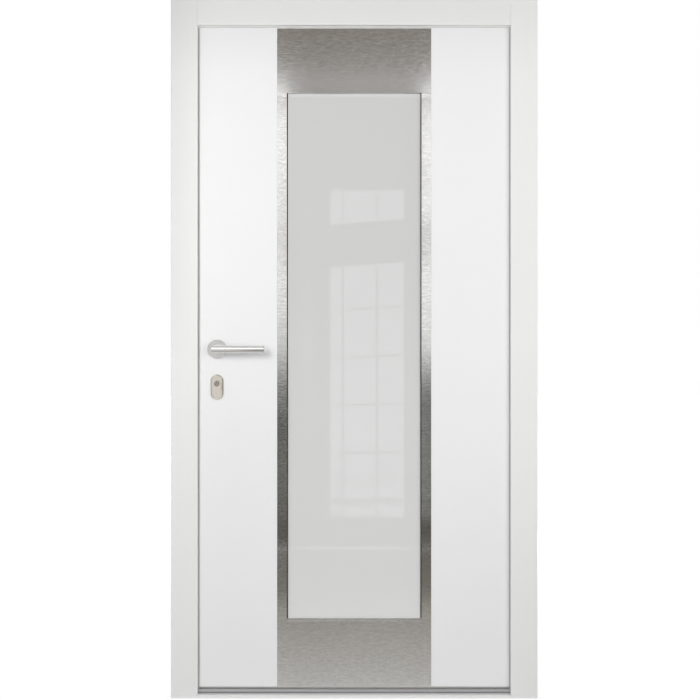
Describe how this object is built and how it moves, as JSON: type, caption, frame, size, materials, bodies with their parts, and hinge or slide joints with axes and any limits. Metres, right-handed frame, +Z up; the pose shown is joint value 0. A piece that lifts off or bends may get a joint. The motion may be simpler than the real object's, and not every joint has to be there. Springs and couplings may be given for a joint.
{
  "type": "front door",
  "caption": "White metal front door in its frame, with a full-height brushed-steel band round a tall window, a round-bar lever and an oval key escutcheon.",
  "frame": {"origin": "middle of the sill's underside, at half the frame's depth", "axes": "+X right as seen from outside, towards the hinges; +Y indoors; +Z up"},
  "size_m": [1.1, 0.19, 2.1],
  "materials": {
    "frame_coat": "satin powder coat, white",
    "leaf_coat": "satin powder coat, white",
    "trim_coat": "satin powder coat, white",
    "hinge_coat": "satin powder coat, white",
    "break_plastic": "matt dark grey polyamide",
    "sill_plastic": "matt light grey",
    "threshold_metal": "anodised",
    "seal_rubber": "matt",
    "gasket_rubber": "matt",
    "lock_steel": "brushed",
    "bolt_steel": "ground",
    "edge_plastic": "matt dark grey composite",
    "core_foam": "rigid foam",
    "band_steel": "brushed across",
    "outer_pane_glass": "clear, light grey through the panes",
    "pane_glass": "clear",
    "spacer_metal": "anodised",
    "cylinder_metal": "nickel plated",
    "escutcheon_metal": "satin, warm nickel tone",
    "lever_steel": "satin"
  },
  "bodies": {
    "frame": {"lock_jamb_outer": "frame_coat", "lock_jamb_inner": "frame_coat", "hinge_jamb_outer": "frame_coat", "hinge_jamb_inner": "frame_coat", "head_outer": "frame_coat", "head_inner": "frame_coat", "thermal_breaks": "break_plastic", "sill_base": "sill_plastic", "threshold": "threshold_metal", "frame_seal": "seal_rubber", "main_strike": "lock_steel", "hook_strikes": "lock_steel", "hinge_frame_halves": "hinge_coat", "hinge_pins": "bolt_steel"},
    "leaf": {"outer_skin": "leaf_coat", "inner_skin": "leaf_coat", "lock_stile": "edge_plastic", "hinge_stile": "edge_plastic", "top_rail": "edge_plastic", "bottom_rail": "edge_plastic", "foam_core": "core_foam", "bottom_seal": "seal_rubber", "steel_band": "band_steel", "glazing_gasket": "gasket_rubber", "outer_glass": "outer_pane_glass", "middle_glass": "pane_glass", "inner_glass": "pane_glass", "glass_spacers": "spacer_metal", "bottom_trim": "trim_coat", "right_trim": "trim_coat", "top_trim": "trim_coat", "left_trim": "trim_coat", "lock_faceplate": "lock_steel", "latch_bolt": "bolt_steel", "dead_bolt": "bolt_steel", "hook_bolts": "bolt_steel", "lock_cylinder": "cylinder_metal", "outer_escutcheon": "escutcheon_metal", "inner_escutcheon": "escutcheon_metal", "outer_rosette": "lever_steel", "inner_rosette": "lever_steel", "hinge_leaf_halves": "hinge_coat"},
    "lever_set": {"outer_lever": "lever_steel", "inner_lever": "lever_steel", "spindle": "bolt_steel"}
  },
  "joints": [
    {"name": "leaf_swing", "type": "hinge", "parent": "frame", "child": "leaf", "pos_m": [0.4875, 0.0535, 1.05], "axis": [0, 0, -1], "range_deg": [0, 110]},
    {"name": "lever_turn", "type": "hinge", "parent": "leaf", "child": "lever_set", "pos_m": [-0.413, 0.01, 1.048], "axis": [0, 1, 0], "range_deg": [0, 40], "stiffness_Nm_per_rad": 1.5, "springref_deg": -45.84}
  ]
}
